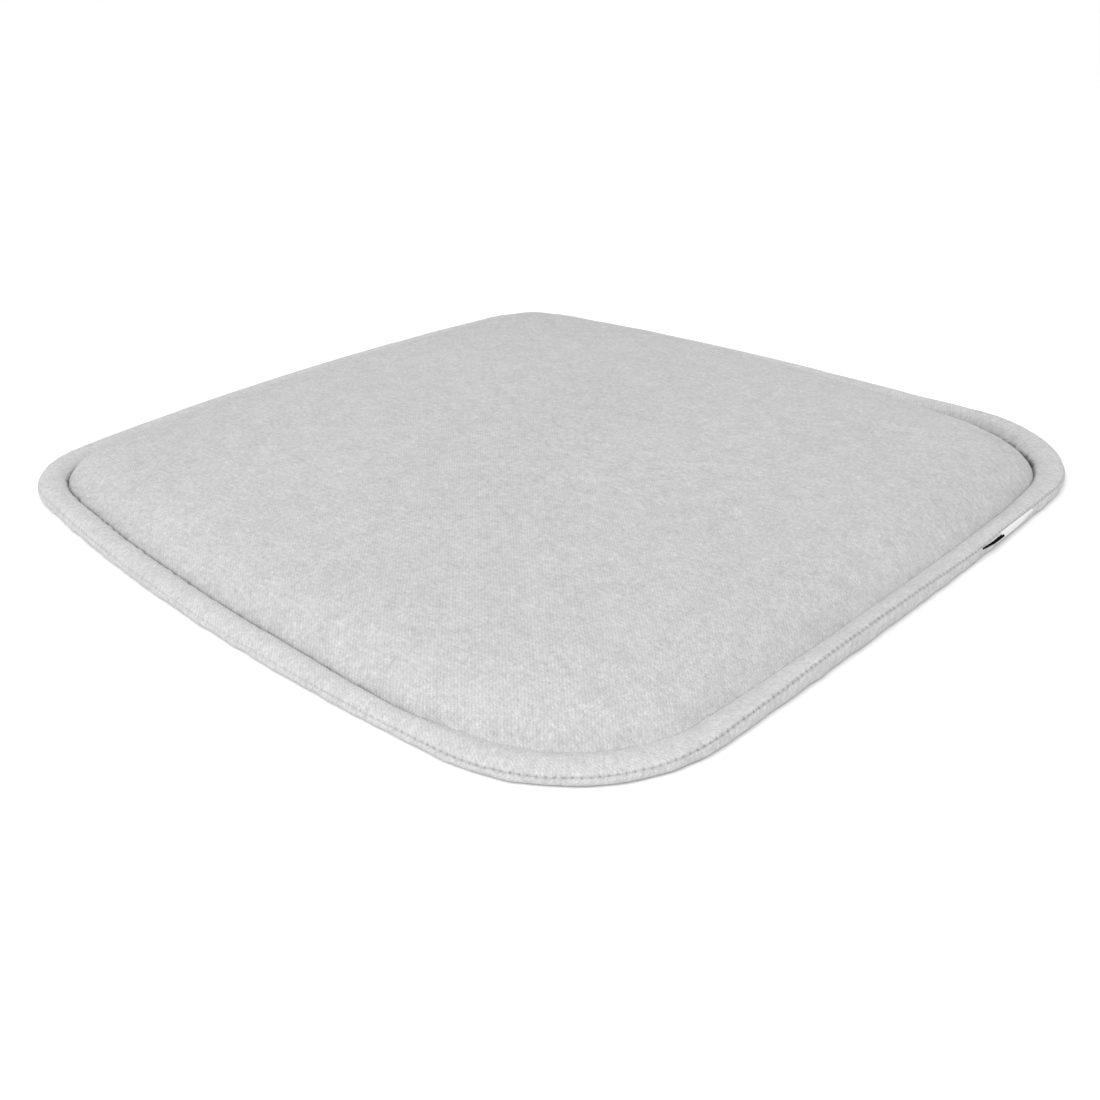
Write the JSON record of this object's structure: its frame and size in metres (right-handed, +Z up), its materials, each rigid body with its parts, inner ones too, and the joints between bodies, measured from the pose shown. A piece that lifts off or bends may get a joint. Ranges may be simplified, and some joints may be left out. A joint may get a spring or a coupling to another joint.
{
  "type": "chair seat pad",
  "caption": "Thin seat pad for a shell chair: domed fabric panel inside a rolled border, foam core, zipped cover and grip underside.",
  "frame": {"origin": "bottom centre of the pad, on the surface that it rests on", "axes": "+Z up out of the domed side; -Y towards the wide, nearly straight front edge with the labels; +Y towards the bowed rear edge with the zip; +X to the right seen from the front"},
  "size_m": [0.4304, 0.4238, 0.0203],
  "materials": {
    "cover_fabric": "light grey heather twill weave, matt",
    "grip_fabric": "grey felted underside with small grip dots",
    "foam": "open-cell upholstery foam",
    "wadding": "white polyester wadding",
    "zip_tape": "grey woven tape",
    "zip_coil": "grey nylon coil",
    "zip_metal": "satin nickel",
    "label_black": "plain black woven ribbon, blank",
    "label_white": "plain white satin ribbon, blank"
  },
  "bodies": {
    "cushion": {"top_panel": "cover_fabric", "border_band": "cover_fabric", "lower_band": "cover_fabric", "underside_panel": "grip_fabric", "wadding_sheet": "wadding", "foam_core": "foam", "base_foam": "foam", "zip_tape_upper": "zip_tape", "zip_tape_lower": "zip_tape", "zip_teeth_upper": "zip_coil", "zip_teeth_lower": "zip_coil", "zip_stop_closed_end": "zip_metal", "zip_stop_open_end": "zip_metal", "brand_label": "label_black", "care_label": "label_white"},
    "slider": {"zip_slider": "zip_metal"},
    "pull": {"zip_pull": "zip_metal"}
  },
  "joints": [
    {"name": "zip_slide", "type": "hinge", "parent": "cushion", "child": "slider", "pos_m": [0, -0.92563, 0.0038], "axis": [0, 0, 1], "range_deg": [0, 11.8]},
    {"name": "pull_swing", "type": "hinge", "parent": "slider", "child": "pull", "pos_m": [0.117, 0.20652, 0.0038], "axis": [0, 0, -1], "range_deg": [0, 170]}
  ]
}
